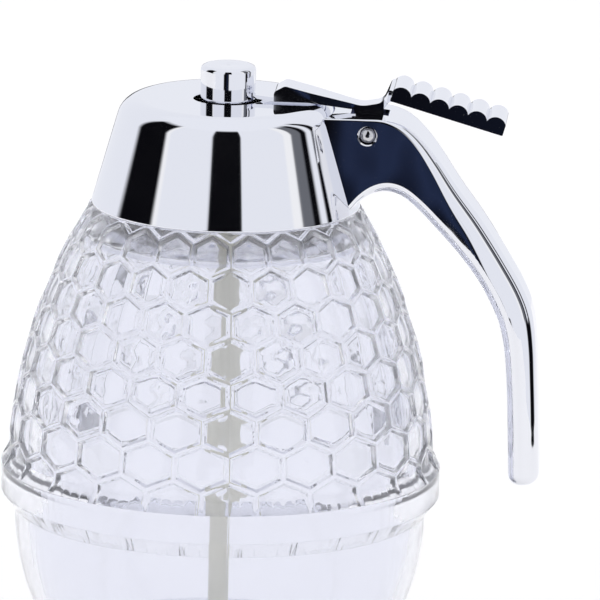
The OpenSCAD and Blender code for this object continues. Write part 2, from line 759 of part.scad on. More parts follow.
// The wire's middle line: straight up, round and up, straight up
function spring_path() =
    let (rise = spring_len - 2 * wire_d, n = spring_turns * spring_rings)
    concat([[coil_r, 0, spring_low_z]],
           [for (i = [0 : n])
               [coil_r * cos(360 * i / spring_rings), coil_r * sin(360 * i / spring_rings),
                spring_low_z + wire_d + rise * i / n]],
           [[coil_r, 0, spring_low_z + spring_len]]);

function unit(v) = v / norm(v);
// One ring of the wire round point p, square to direction d
function wire_ring(p, d) =
    let (out = unit([p[0], p[1], 0]), side = unit(cross(d, out)), up = cross(side, d))
    [for (k = [0 : spring_sides - 1])
        let (turn = 360 * k / spring_sides)
        p + wire_d / 2 * (cos(turn) * up + sin(turn) * side)];
function path_turn(path, i) =
    i == 0 || i == len(path) - 1 ? [0, 0, 1] : unit(path[i + 1] - path[i - 1]);

// Least gap between the wire's turns, from points at least three rings apart
function spring_gap(path) =
    min([for (i = [0 : len(path) - 1]) for (j = [i + 3 : 1 : len(path) - 1])
         norm(path[i] - path[j])]) - wire_d;

module return_spring() {
    path = spring_path();
    echo(least_gap_of_return_spring = spring_gap(path));
    color([0.72, 0.72, 0.74])
    loft([for (i = [0 : len(path) - 1]) wire_ring(path[i], path_turn(path, i))]);
}

stand();
bowl_shell();
dome_shell();
lid_shell();
threaded_liner();
lid_seal();
handle();
handle_screws();
pivot_pin();
lever();
knob();
plunger_rod();
spring_retainer();
return_spring();
stopper();
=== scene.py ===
# Honey dispenser: clear honeycomb jar in a cup stand, plated lid with a handle and a
# thumb lever, and a sprung plunger. Lengths are in millimetres until they meet a mesh.
from math import atan2, cos, floor, hypot, pi, radians, sin, sqrt, tan

import bmesh
import bpy
from mathutils import Matrix, Vector


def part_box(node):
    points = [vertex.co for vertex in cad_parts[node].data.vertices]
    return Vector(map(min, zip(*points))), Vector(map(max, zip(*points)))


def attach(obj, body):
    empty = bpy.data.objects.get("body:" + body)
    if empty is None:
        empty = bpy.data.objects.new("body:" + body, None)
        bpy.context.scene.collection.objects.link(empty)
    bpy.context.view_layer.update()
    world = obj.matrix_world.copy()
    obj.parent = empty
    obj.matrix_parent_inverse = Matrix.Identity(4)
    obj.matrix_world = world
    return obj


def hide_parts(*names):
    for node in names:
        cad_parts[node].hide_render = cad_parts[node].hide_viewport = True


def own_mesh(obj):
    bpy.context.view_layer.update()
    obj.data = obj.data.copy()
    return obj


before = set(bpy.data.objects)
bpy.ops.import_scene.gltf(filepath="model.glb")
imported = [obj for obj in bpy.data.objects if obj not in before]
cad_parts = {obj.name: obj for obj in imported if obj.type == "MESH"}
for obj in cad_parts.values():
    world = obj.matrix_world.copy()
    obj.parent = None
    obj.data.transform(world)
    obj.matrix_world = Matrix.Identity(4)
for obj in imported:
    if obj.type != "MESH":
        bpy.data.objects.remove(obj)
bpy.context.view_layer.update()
mm = 0.001

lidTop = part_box("lid_shell")[1].z / mm
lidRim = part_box("lid_shell")[0].z / mm
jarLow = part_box("bowl_shell")[0].z / mm
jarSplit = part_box("dome_shell")[0].z / mm
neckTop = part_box("dome_shell")[1].z / mm
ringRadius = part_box("dome_shell")[1].x / mm


def linear(value):
    # one sRGB channel, 0 to 1, turned linear
    return value / 12.92 if value <= 0.04045 else ((value + 0.055) / 1.055) ** 2.4


def colour(hexCode):
    channels = [int(hexCode[i:i + 2], 16) / 255 for i in (1, 3, 5)]
    return tuple(linear(c) for c in channels) + (1.0,)


def roundedLine(points, steps=6):
    # points are (radius, height) or (radius, height, rounding): each rounded corner turns
    # into an arc that meets both its lines
    line = []
    for i, point in enumerate(points):
        here = Vector(point[:2])
        rounding = point[2] if len(point) > 2 else 0
        if not rounding:
            line.append(here)
            continue
        before = (Vector(points[i - 1][:2]) - here).normalized()
        after = (Vector(points[(i + 1) % len(points)][:2]) - here).normalized()
        half = before.angle(after) / 2
        centre = here + (before + after).normalized() * rounding / sin(half)
        start = here + before * rounding / tan(half) - centre
        end = here + after * rounding / tan(half) - centre
        turn = start.angle_signed(end)
        for k in range(steps + 1):
            a = -turn * k / steps
            line.append(centre + Vector((start.x * cos(a) - start.y * sin(a),
                                         start.x * sin(a) + start.y * cos(a))))
    return line


def sideCurve(low, high, radiusAt, steps):
    # points along a shell's side from one height to another
    return [(radiusAt(low + (high - low) * k / steps), low + (high - low) * k / steps)
            for k in range(steps + 1)]


def lathe(profile, steps=160, closed=True):
    # spins a profile of (radius, height) round the jar's axis
    bm = bmesh.new()
    verts = [bm.verts.new((max(r, 0) * mm, 0, z * mm)) for r, z in profile]
    ends = list(zip(verts, verts[1:])) + ([(verts[-1], verts[0])] if closed else [])
    edges = [bm.edges.new(pair) for pair in ends if pair[0].co != pair[1].co]
    bmesh.ops.spin(bm, geom=verts + edges, angle=2 * pi, steps=steps, axis=(0, 0, 1),
                   cent=(0, 0, 0), use_merge=True)
    bmesh.ops.remove_doubles(bm, verts=bm.verts, dist=1e-7)
    bmesh.ops.dissolve_degenerate(bm, edges=bm.edges, dist=1e-7)
    bmesh.ops.recalc_face_normals(bm, faces=bm.faces)
    return bm


def looseObject(name, bm):
    mesh = bpy.data.meshes.new(name)
    bm.to_mesh(mesh)
    bm.free()
    thing = bpy.data.objects.new(name, mesh)
    bpy.context.scene.collection.objects.link(thing)
    return thing


def combine(thing, others, operation):
    # cuts, crosses or joins a piece with others, for good
    for other in others:
        step = thing.modifiers.new("combine", "BOOLEAN")
        step.operation = operation
        step.solver = "EXACT"
        step.object = other
    seen = bpy.context.evaluated_depsgraph_get()
    mesh = bpy.data.meshes.new_from_object(thing.evaluated_get(seen))
    thing.modifiers.clear()
    thing.data = mesh
    for other in others:
        bpy.data.objects.remove(other)


def dress(thing, material, body, replaced=(), sharp=35):
    # the last step for each piece: shading, finish, body, and hiding the parts it replaces
    mesh = thing.data
    mesh.materials.clear()
    mesh.materials.append(material)
    mesh.shade_smooth()
    mesh.set_sharp_from_angle(angle=radians(sharp))
    weigh = thing.modifiers.new("flatFaces", "WEIGHTED_NORMAL")
    weigh.keep_sharp = True
    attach(thing, body)
    if replaced:
        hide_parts(*replaced)
    return thing


def newMaterial(name):
    material = bpy.data.materials.new(name)
    material.use_nodes = True
    shader = material.node_tree.nodes["Principled BSDF"]
    return material, material.node_tree, shader


def addNode(tree, kind, settings=None, links=None):
    # settings go to the node or its sockets, which may be numbered; links are
    # {socket: (node, output)}
    node = tree.nodes.new(kind)
    for key, value in (settings or {}).items():
        if isinstance(key, int) or key in node.inputs.keys():
            node.inputs[key].default_value = value
        else:
            setattr(node, key, value)
    for key, (source, output) in (links or {}).items():
        tree.links.new(source.outputs[output], node.inputs[key])
    return node


def patterned(tree, size, detail=3):
    # noise whose blobs are about size millimetres across, in the object's own place
    place = addNode(tree, "ShaderNodeTexCoord")
    return addNode(tree, "ShaderNodeTexNoise", {"Scale": 1 / (size * mm), "Detail": detail},
                   {"Vector": (place, "Object")})


def spread(tree, source, low, high):
    # turns a noise into a number between low and high
    return addNode(tree, "ShaderNodeMapRange",
                   {"From Min": 0.3, "From Max": 0.7, "To Min": low, "To Max": high},
                   {"Value": (source, "Fac")})


def bumped(tree, shader, source, height, strength=1.0):
    bump = addNode(tree, "ShaderNodeBump", {"Distance": height * mm, "Strength": strength},
                   {"Height": (source, "Fac")})
    tree.links.new(bump.outputs["Normal"], shader.inputs["Normal"])


def chromedAbs(name, waves):
    # bright chrome on moulded ABS: a near mirror, with the faint waviness of the moulding,
    # deeper over the handle's thick walls
    material, tree, shader = newMaterial(name)
    shader.inputs["Base Color"].default_value = colour("#ECEDF2")
    shader.inputs["Metallic"].default_value = 1.0
    haze = spread(tree, patterned(tree, 9), 0.02, 0.05)
    tree.links.new(haze.outputs["Result"], shader.inputs["Roughness"])
    bumped(tree, shader, patterned(tree, 14, 1), waves)
    return material


def clearAcrylic(name, tint, rough, clear=1.0):
    # injection-moulded PMMA: clear, a touch cool and milky in thick wall, with faint ripples
    material, tree, shader = newMaterial(name)
    shader.inputs["Base Color"].default_value = colour(tint)
    shader.inputs["Transmission Weight"].default_value = clear
    shader.inputs["IOR"].default_value = 1.49
    haze = spread(tree, patterned(tree, 12), rough * 0.6, rough * 1.4)
    tree.links.new(haze.outputs["Result"], shader.inputs["Roughness"])
    bumped(tree, shader, patterned(tree, 7, 1), 0.02, 0.3)
    return material


def mouldedPlastic(name, tint, rough, size=0.5):
    # moulded plastic: satin skin with a fine grain and slightly uneven colour
    material, tree, shader = newMaterial(name)
    shade = addNode(tree, "ShaderNodeMixRGB",
                    {"Color1": colour(tint[0]), "Color2": colour(tint[1])},
                    {"Fac": (patterned(tree, 6), "Fac")})
    tree.links.new(shade.outputs["Color"], shader.inputs["Base Color"])
    haze = spread(tree, patterned(tree, size), rough * 0.8, rough * 1.2)
    tree.links.new(haze.outputs["Result"], shader.inputs["Roughness"])
    bumped(tree, shader, patterned(tree, size), 0.01, 0.4)
    return material


def stainlessSteel(name, rough):
    # stainless steel, drawn into wire or polished: bright, its skin very finely uneven
    material, tree, shader = newMaterial(name)
    shader.inputs["Base Color"].default_value = colour("#C9C9CC")
    shader.inputs["Metallic"].default_value = 1.0
    haze = spread(tree, patterned(tree, 0.4), rough * 0.7, rough * 1.3)
    tree.links.new(haze.outputs["Result"], shader.inputs["Roughness"])
    bumped(tree, shader, patterned(tree, 0.25), 0.004, 0.4)
    return material


chrome = chromedAbs("chromedAbs", 0.002)
thickChrome = chromedAbs("chromedThickAbs", 0.2)
jarAcrylic = clearAcrylic("jarAcrylic", "#F8F9FF", 0.03, 0.94)
standAcrylic = clearAcrylic("standAcrylic", "#F9FAFF", 0.02, 0.95)
rodPlastic = mouldedPlastic("creamAcetal", ("#FBF9E4", "#FFFDEE"), 0.32)
linerPlastic = mouldedPlastic("naturalPolypropylene", ("#E6E3D8", "#ECEAE1"), 0.42)
silicone = mouldedPlastic("milkySilicone", ("#C8C8C6", "#D2D2D0"), 0.5)
steel = stainlessSteel("drawnStainless", 0.22)
polishedSteel = stainlessSteel("polishedStainless", 0.05)
print("materials ready")


jar = {
    "domeRadius": 41.4, "domeArc": 103.88, "bellyRise": 5.8, "domeWall": 2.7,
    "bowlRadius": 39.8, "bowlArc": 49.1, "bowlWall": 2.5,
    "chamfer": 3.4, "face": 5.4, "shoulder": 2.4, "split": 0.6,   # the ring, from below
    "ledgeGap": 0.3, "collarRadius": 23.6, "collarHeight": 0.8, "shoulderRise": 2.5,
    "neckRadius": 16.8, "neckWall": 2.5, "neckFlare": 1.2, "roofDrop": 5.6, "roofRound": 3,
    "nozzleRadius": 5.4, "nozzleLength": 4.8,
    "outletRadius": 3.0, "seatRadius": 5.9, "seatDrop": 0.5,      # the cone of the stopper
    # radii inside where the bowl meets the dome, and their heights over the ring's lower edge
    "innerJoin": ((37.3, -2.4), (37.6, 0.5), (38.3, 3)), "domeStart": 5,
    "longEdge": 1.2, "cuts": 7,  # edges of the relief's foot longer than this are divided
}
ledge = lidRim - jar["ledgeGap"]
shoulderTop = ledge + jar["shoulderRise"]
ringLow = jarSplit - jar["split"]
bowlTop = ringLow - jar["chamfer"]
belly = bowlTop + jar["bellyRise"]
honeycombLow = ringLow + jar["face"] + jar["shoulder"]
bowlPole = jarLow + jar["nozzleLength"]


def domeAt(z, inset=0):
    arc = jar["domeArc"] - inset
    return jar["domeRadius"] - inset - arc + sqrt(arc ** 2 - (z - belly) ** 2)


def bowlAt(z, inset=0):
    arc = jar["bowlArc"] - inset
    return jar["bowlRadius"] - inset - arc + sqrt(max(arc ** 2 - (z - bowlTop) ** 2, 0))


def bowlDepthAt(r, inset=0):
    arc = jar["bowlArc"] - inset
    return bowlTop - sqrt(arc ** 2 - (r - jar["bowlRadius"] + jar["bowlArc"]) ** 2)


comb = {
    "cells": 24, "rows": 9,                          # round the jar and down it
    "firstRise": 2.0, "drop": 5.75, "growth": 0.2,   # rows lie further apart downwards
    "ribTop": 0.8, "ribSlope": 0.4, "depth": 0.6, "edge": 0.17,
    "turn": -1.1,                                    # degrees round the jar
    "lensRadius": 17.5,
    "leastFloor": 4,                                 # square millimetres of a whole floor
}


def rowHeight(k):
    return ledge + comb["firstRise"] - comb["drop"] * k - comb["growth"] * k * (k - 1) / 2


def onDome(angle, z):
    r = domeAt(z)
    return Vector((r * cos(angle) * mm, r * sin(angle) * mm, z * mm))


def combSkin():
    # six-sided cells that share their edges, each with a raised rib and a sunk floor
    bm = bmesh.new()
    step = 2 * pi / comb["cells"]
    for k in range(comb["rows"]):
        up = rowHeight(k - 1) - rowHeight(k)
        down = rowHeight(k) - rowHeight(k + 1)
        corners = [(0, up * 2 / 3), (-0.5, up / 3), (-0.5, -down / 3), (0, -down * 2 / 3),
                   (0.5, -down / 3), (0.5, up / 3)]
        for i in range(comb["cells"]):
            middle = radians(comb["turn"] - 90) + step * (i + (0.5 if k % 2 == 0 else 0))
            cell = bmesh.ops.create_circle(bm, cap_ends=True, segments=6, radius=mm)
            for vert, (side, rise) in zip(cell["verts"], corners):
                vert.co = onDome(middle - side * step, rowHeight(k) + rise)
    bmesh.ops.remove_doubles(bm, verts=bm.verts, dist=1e-5)
    bmesh.ops.recalc_face_normals(bm, faces=bm.faces)
    if sum(f.normal.dot(Vector((f.calc_center_median().x, f.calc_center_median().y, 0)))
           for f in bm.faces) < 0:
        bmesh.ops.reverse_faces(bm, faces=bm.faces)
    cells = bm.faces[:]
    bmesh.ops.inset_individual(bm, faces=cells, thickness=comb["ribTop"] / 2 * mm, depth=0,
                               use_even_offset=True)
    bmesh.ops.inset_individual(bm, faces=cells, thickness=comb["ribSlope"] * mm,
                               depth=-comb["depth"] * mm, use_even_offset=True)
    rims = {e for f in cells for e in f.edges}
    brinks = {e for rim in rims for f in rim.link_faces for e in f.edges
              if not any(v in rim.verts for v in e.verts)} - rims
    bmesh.ops.bevel(bm, geom=list(rims | brinks), offset=comb["edge"] * mm, segments=2,
                    affect="EDGES", profile=0.5, material=-1, clamp_overlap=True)
    domeCells(bm)
    return bm


def domeCells(bm):
    # each cell's floor swells into a weak lens, which enlarges what stands inside the jar
    number = bm.faces.layers.int.new("cell")
    cells = [f for f in bm.faces
             if len(f.verts) == 6 and f.calc_area() > comb["leastFloor"] * mm ** 2]
    lenses = []
    for cell in cells:
        middle = cell.calc_center_median()
        reach = sum((v.co - middle).length for v in cell.verts) / len(cell.verts)
        lenses.append((middle, cell.normal.copy(), reach))
        cell[number] = len(lenses)
    bmesh.ops.poke(bm, faces=cells)
    spokes = {e for f in bm.faces if f[number] for e in f.edges}
    bmesh.ops.subdivide_edges(bm, edges=list(spokes), cuts=3, use_grid_fill=True)
    owner = {v: f[number] for f in bm.faces if f[number] for v in f.verts}
    for vert, cell in owner.items():
        middle, normal, reach = lenses[cell - 1]
        away = (vert.co - middle).length
        vert.co += normal * (reach ** 2 - away ** 2) / (2 * comb["lensRadius"] * mm)


def cutBelow(bm, z, keepAbove):
    bmesh.ops.bisect_plane(bm, geom=bm.verts[:] + bm.edges[:] + bm.faces[:], dist=1e-7,
                           plane_co=(0, 0, z * mm), plane_no=(0, 0, 1),
                           clear_inner=keepAbove, clear_outer=not keepAbove)


def openLoop(bm, z):
    return [e for e in bm.edges if e.is_boundary
            and all(abs(v.co.z - z * mm) < 1e-6 for v in e.verts)]


def pullLoop(bm, loop, r, z):
    # extrudes a loop of edges to radius r at height z, each point at its own angle
    made = bmesh.ops.extrude_edge_only(bm, edges=loop)["geom"]
    verts = [g for g in made if isinstance(g, bmesh.types.BMVert)]
    moved = set(verts)
    for vert in verts:
        angle = atan2(vert.co.y, vert.co.x)
        reach = r(angle) if callable(r) else r
        vert.co = (reach * cos(angle) * mm, reach * sin(angle) * mm, z * mm)
    return [g for g in made if isinstance(g, bmesh.types.BMEdge)
            and all(v in moved for v in g.verts)]


thread = {"pitch": 4, "height": 0.9, "width": 1.7, "slope": 0.5, "turns": 1.6, "start": 1.8,
          "runOut": 0.08, "rings": 44}


def threadRadius(z):
    # the neck's radius at this height, as a rule for each angle round it
    def at(angle):
        height = 0
        for lap in range(3):
            travelled = angle / (2 * pi) % 1 + lap
            off = abs(neckTop - thread["start"] - travelled * thread["pitch"] - z)
            fade = min(travelled, thread["turns"] - travelled) / thread["runOut"]
            height = max(height, min(1, fade, (thread["width"] / 2 - off) / thread["slope"]))
        return jar["neckRadius"] + thread["height"] * height
    return at


def jarProfile():
    # from the honeycomb's foot over the ring, round the outside of the bowl, up through the
    # outlet, up the inside, and over the neck back to the ledge under the lid. The third
    # number of a corner is its rounding
    ring = ringRadius
    bowlWall, domeWall = jar["bowlWall"], jar["domeWall"]
    bowlIn = jar["bowlRadius"] - bowlWall
    roof = shoulderTop - domeWall
    roofLow = roof - jar["roofDrop"]
    neckIn = jar["neckRadius"] - jar["neckWall"]
    nozzle = jar["nozzleRadius"]
    nozzleTop = bowlDepthAt(nozzle)
    outside = roundedLine([
        (domeAt(honeycombLow), honeycombLow + 1), (ring, ringLow + jar["face"], 0.5),
        (ring, ringLow, 0.5), (jar["bowlRadius"], bowlTop, 0.4),
        (jar["bowlRadius"] - 0.2, bowlTop - 4)])[1:-1]
    bowlOutside = [(r, bowlDepthAt(r)) for r in
                   [jar["bowlRadius"] - (jar["bowlRadius"] - nozzle) * (1 - cos(radians(a)))
                    for a in range(4, 89, 2)]]
    tip = roundedLine([
        (nozzle + 3, bowlDepthAt(nozzle + 3)), (nozzle, nozzleTop, 0.8), (nozzle, jarLow, 0.5),
        (jar["outletRadius"], jarLow, 0.4), (jar["outletRadius"], bowlPole - jar["seatDrop"])],
        4)[1:]
    seat = [(jar["seatRadius"], bowlDepthAt(jar["seatRadius"], bowlWall))]
    bowlInside = [(r, bowlDepthAt(r, bowlWall)) for r in
                  [bowlIn - (bowlIn - jar["seatRadius"]) * (1 - cos(radians(a)))
                   for a in range(88, 1, -2)]]
    join = [(r, ringLow + rise) for r, rise in jar["innerJoin"]]
    domeInside = sideCurve(ringLow + jar["domeStart"], roofLow,
                           lambda z: domeAt(z, domeWall), 40)
    top = roundedLine([
        (domeAt(roofLow - 3, domeWall), roofLow - 3),
        (domeAt(roofLow, domeWall), roofLow, jar["roofRound"]),
        (neckIn + domeWall + 1, roof, 1.5),
        (neckIn, roof + jar["neckFlare"], jar["neckFlare"]), (neckIn, neckTop, 0.6),
        (jar["neckRadius"], neckTop, 0.8), (jar["neckRadius"], neckTop - 1)], 4)[1:]
    threadHigh, threadLow = neckTop - 1, shoulderTop + 1
    neck = [(threadRadius(z), z) for z in
            [threadHigh - (threadHigh - threadLow) * k / thread["rings"]
             for k in range(1, thread["rings"] + 1)]]
    shoulder = roundedLine([
        (jar["neckRadius"], shoulderTop + 1), (jar["neckRadius"], shoulderTop, 0.8),
        (jar["collarRadius"] - jar["shoulderRise"] + jar["collarHeight"], shoulderTop, 0.8),
        (jar["collarRadius"], ledge + jar["collarHeight"], 0.4),
        (jar["collarRadius"], ledge, 0.3), (jar["collarRadius"] + 1, ledge)], 4)[1:]
    return (outside + bowlOutside + tip + seat + bowlInside + join + domeInside + top + neck
            + shoulder)


def jarBody():
    # the relief is cut to its height, and its foot is pulled through the whole profile
    bm = combSkin()
    cutBelow(bm, honeycombLow, True)
    cutBelow(bm, ledge, False)
    foot = openLoop(bm, honeycombLow)
    bmesh.ops.subdivide_edges(bm, edges=[e for e in foot if e.calc_length() > jar["longEdge"] * mm],
                              cuts=jar["cuts"])
    loop, brim = openLoop(bm, honeycombLow), openLoop(bm, ledge)
    for r, z in jarProfile():
        loop = pullLoop(bm, loop, r, z)
    bmesh.ops.bridge_loops(bm, edges=loop + brim)
    bmesh.ops.recalc_face_normals(bm, faces=bm.faces)
    return looseObject("jar", bm)


jarPiece = dress(jarBody(), jarAcrylic, "jar", ("bowl_shell", "dome_shell"))
print("jar", len(jarPiece.data.polygons), "faces")


stand = {"foot": 36, "footHeight": 1.7, "footSlope": 1.2, "edge": 2.6, "floor": 2.2,
         "waist": 31, "waistHeight": 14, "arc": 45, "seat": 2.6, "wall": 2.2, "gap": 0.3}
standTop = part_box("stand")[1].z / mm


def standProfile():
    def outer(z):
        return stand["waist"] + stand["arc"] - sqrt(
            stand["arc"] ** 2 - (z - stand["waistHeight"]) ** 2)

    def inner(z):
        reach = stand["arc"] + stand["wall"]
        return stand["waist"] + stand["arc"] - sqrt(
            reach ** 2 - (z - stand["waistHeight"]) ** 2)

    seatLow = standTop - stand["seat"]
    rimIn = bowlAt(standTop) + stand["gap"]
    seatIn = bowlAt(seatLow) + stand["gap"]
    outside = roundedLine([(0, 0), (stand["foot"], 0, 0.5),
                           (stand["foot"], stand["footHeight"], 0.8),
                           (stand["foot"] - stand["footSlope"], stand["edge"], 0.8),
                           (outer(stand["edge"]) + 0.1, stand["edge"])], 4)
    side = sideCurve(stand["edge"] + 0.6, standTop - 0.8, outer, 32)
    rim = roundedLine([(outer(standTop - 2), standTop - 2), (outer(standTop), standTop, 0.5),
                       (rimIn, standTop, 0.4), (seatIn, seatLow, 0.3),
                       (inner(seatLow), seatLow)], 4)[1:]
    inside = sideCurve(seatLow - 0.5, stand["floor"] + 1, inner, 28)
    bottom = roundedLine([(inner(4), 4), (inner(stand["floor"]), stand["floor"], 0.8),
                          (0, stand["floor"])], 4)[1:]
    return outside + side + rim + inside + bottom


standPiece = dress(looseObject("standCup", lathe(standProfile(), 160, False)),
                   standAcrylic, "stand", ("stand",))
print("stand")


lid = {"rim": 26, "top": 20.2, "height": 20.8, "wall": 1.6, "topWall": 1.8,
       "round": 4.5, "edge": 0.35, "well": 6.6}
lidTaper = (lid["rim"] - lid["top"]) / lid["height"]
lidWallLevel = lid["wall"] * hypot(1, lidTaper)


def lidAt(z):
    return lid["top"] + (lidTop - z) * lidTaper


def lidProfile():
    under = lidTop - lid["topWall"]
    return roundedLine([
        (lid["well"], under, 0.2), (lid["well"], lidTop, lid["edge"]),
        (lid["top"], lidTop, lid["round"]), (lidAt(lidRim), lidRim, lid["edge"]),
        (lidAt(lidRim) - lidWallLevel, lidRim, 0.3),
        (lidAt(under) - lidWallLevel, under, 0.8)], 10)


lidPiece = dress(looseObject("lidCap", lathe(lidProfile(), 256)), chrome, "lid",
                 ("lid_shell",))
print("lid")


handle = {"width": 16.2, "gripWidth": 14, "drop": 1.7, "endRound": 2.2, "slotWidth": 5.4,
          "slotRadius": 3.65, "pinRadius": 1.6, "pinFit": 0.12, "pinDome": 1.3, "pinSink": 0.2,
          "flatSide": 7.72, "countersink": 1.2, "seatGap": 0.02}
pivot = Vector((27.5, 0, lidTop - 4.9))

# rows across the handle, from the lid to the grip's end: the outer edge's distance from the
# axis and depth under the lid's top, the same of the inner edge, and both edges' roundings
handleRows = [
    (16.0, 1.7, 21.0, 24.5, 0.4, 1.6), (21.5, 1.7, 24.2, 20.4, 0.4, 1.6),
    (26.5, 1.7, 26.4, 17.9, 0.4, 1.8), (30.6, 1.8, 28.8, 16.4, 0.6, 2.0),
    (34.4, 2.9, 31.4, 16.0, 1.2, 2.2), (37.8, 5.6, 34.2, 16.8, 1.9, 2.2),
    (41.2, 9.7, 37.3, 19.2, 2.7, 2.2), (45.2, 15.5, 40.9, 22.9, 3.4, 2.2),
    (50.0, 21.9, 45.5, 28.0, 4.0, 2.3), (54.8, 29.4, 49.4, 33.2, 4.2, 2.3),
    (58.2, 35.3, 52.2, 38.4, 4.3, 2.4), (60.0, 40.3, 53.7, 42.2, 4.2, 2.4),
    (60.8, 46.5, 54.7, 47.2, 4.0, 2.2), (61.2, 54.0, 55.3, 54.2, 3.8, 2.1),
    (61.6, 63.0, 55.7, 63.0, 3.8, 2.1), (61.9, 71.2, 56.0, 71.2, 3.8, 2.1)]
cornerSteps = 8


def smoothRow(t):
    # the curve runs smoothly through the rows
    last = len(handleRows) - 1
    i = min(floor(t), last - 1)
    f = t - i
    rows = [handleRows[min(max(i + k, 0), last)] for k in (-1, 0, 1, 2)]
    return [b + f / 2 * (c - a + f * (2 * a - 5 * b + 4 * c - d + f * (3 * (b - c) + d - a)))
            for a, b, c, d in zip(*rows)]


def handleRing(t, shrink=0, ahead=0):
    # points round the handle at one place along it; shrink and ahead round off its end
    row = smoothRow(t)
    outer = Vector((row[0], lidTop - row[1]))
    inner = Vector((row[2], lidTop - row[3]))
    across = (outer - inner).normalized()
    along = Vector((across.y, -across.x))
    halfThick = (outer - inner).length / 2 - shrink
    middle = (outer + inner) / 2 + along * ahead
    share = t / (len(handleRows) - 1)
    halfWide = (handle["width"] + (handle["gripWidth"] - handle["width"]) * share) / 2 - shrink
    fit = min(1, 2 * halfThick / (row[4] + row[5]))
    ring = []
    for corner in range(4):
        up = 1 if corner < 2 else -1
        side = 1 if corner in (0, 3) else -1
        r = row[4 if corner < 2 else 5] * fit
        for k in range(cornerSteps + 1):
            turn = radians(90 * (corner + k / cornerSteps))
            spot = middle + across * (up * (halfThick - r) + r * sin(turn))
            ring.append((spot.x * mm, (side * (halfWide - r) + r * cos(turn)) * mm,
                         spot.y * mm))
    return ring


def handleSolid():
    # each ring is pulled out of the last one, and both ends are closed
    perRow, endSteps = 6, 8
    last = len(handleRows) - 1
    rings = [handleRing(k / perRow) for k in range(last * perRow + 1)]
    for k in range(1, endSteps + 1):
        turn = pi / 2 * k / endSteps
        rings.append(handleRing(last, handle["endRound"] * (1 - cos(turn)),
                                handle["endRound"] * sin(turn)))
    bm = bmesh.new()
    first = bmesh.ops.create_circle(bm, cap_ends=True, segments=4 * (cornerSteps + 1),
                                    radius=mm)["verts"]
    for vert, place in zip(first, rings[0]):
        vert.co = place
    loop = bm.edges[:]
    order = list(first)
    for ring in rings[1:]:
        made = bmesh.ops.extrude_edge_only(bm, edges=loop)["geom"]
        fresh = [g for g in made if isinstance(g, bmesh.types.BMVert)]
        partner = {}
        for vert in fresh:
            for edge in vert.link_edges:
                other = edge.other_vert(vert)
                if other in order:
                    partner[other] = vert
        order = [partner[v] for v in order]
        for vert, place in zip(order, ring):
            vert.co = place
        moved = set(order)
        loop = [g for g in made if isinstance(g, bmesh.types.BMEdge)
                and all(v in moved for v in g.verts)]
    bmesh.ops.contextual_create(bm, geom=loop)
    bmesh.ops.recalc_face_normals(bm, faces=bm.faces)
    return looseObject("handleGrip", bm)


def acrossHandle(name, profile):
    # turned work on the pivot's axis: a profile of (radius, distance along the pin)
    bm = lathe(profile, 48, False)
    bmesh.ops.transform(bm, verts=bm.verts, matrix=Matrix.Translation(pivot * mm)
                        @ Matrix.Rotation(pi / 2, 4, "X"))
    return looseObject(name, bm)


def crossBar(radius, width):
    half = width / 2
    return acrossHandle("bar", [(0, -half), (radius, -half), (radius, half), (0, half)])


def pinHole():
    # a drilled hole with a small countersink on either side of the handle
    bore, flat = handle["pinRadius"] + handle["pinFit"], handle["flatSide"]
    past = handle["countersink"]
    return acrossHandle("hole", [(0, -flat - past), (bore + past, -flat - past), (bore, -flat),
                                 (bore, flat), (bore + past, flat + past), (0, flat + past)])


def block(low, high):
    bm = bmesh.new()
    size = [(b - a) * mm for a, b in zip(low, high)]
    centre = [(a + b) / 2 * mm for a, b in zip(low, high)]
    bmesh.ops.create_cube(bm, size=1, matrix=Matrix.Translation(centre)
                          @ Matrix.Diagonal((*size, 1)))
    return looseObject("block", bm)


def makeHandle():
    grip = handleSolid()
    # the cone of the lid cuts the handle's root, from well under its rim to over its top
    low, high, gap = lidRim - 8, lidTop + 3, handle["seatGap"]
    cone = looseObject("cone", lathe([(0, low), (lidAt(low) - gap, low),
                                      (lidAt(high) - gap, high), (0, high)], 256, False))
    half = handle["slotWidth"] / 2
    reach = handle["slotRadius"]
    combine(grip, [cone, crossBar(reach, handle["slotWidth"]),
                   block((pivot.x - reach, -half, pivot.z), (pivot.x + reach, half, high)),
                   pinHole()], "DIFFERENCE")
    return dress(grip, thickChrome, "lid", ("handle",), 38)


handlePiece = makeHandle()
print("handle", len(handlePiece.data.polygons), "faces")


def makePin():
    # a turned pin with domed ends, almost as long as the handle is wide
    half = handle["width"] / 2 - handle["pinSink"]
    pin = acrossHandle("pivotPin", roundedLine([
        (0, -half), (handle["pinRadius"], -half, handle["pinDome"]),
        (handle["pinRadius"], half, handle["pinDome"]), (0, half)], 8))
    return dress(pin, polishedSteel, "lid", ("pivot_pin",))


makePin()


lever = {"armWidth": 7, "lugWidth": 4.8, "lugRadius": 2.7, "padWidth": 11,
         "front": 9.05, "armHeight": 3.4, "armGap": 0.3, "waist": 0.8,
         "tongueIn": 2.2, "tongueThick": 0.6, "tongueRise": 0.7, "tipWidth": 3.2,
         "padRise": 1.67, "padLength": 22.6, "padThick": 1.95, "padSlope": 15.7, "padCorner": 0.8,
         "ridges": 6, "pitch": 3.8, "ridgeRadius": 2.04, "ridgeHeight": 3.27, "padEdge": 0.15,
         "boreFit": 0.05, "softEdge": 0.16}
knob = {"radius": 5.3, "up": 6.5, "down": 4, "round": 0.9, "gateDip": 0.06,
        "pocketBack": 0.3, "pocketSide": 0.9, "pocketLow": 0.6, "pocketHigh": 0.3}
padStart = pivot.x + 4


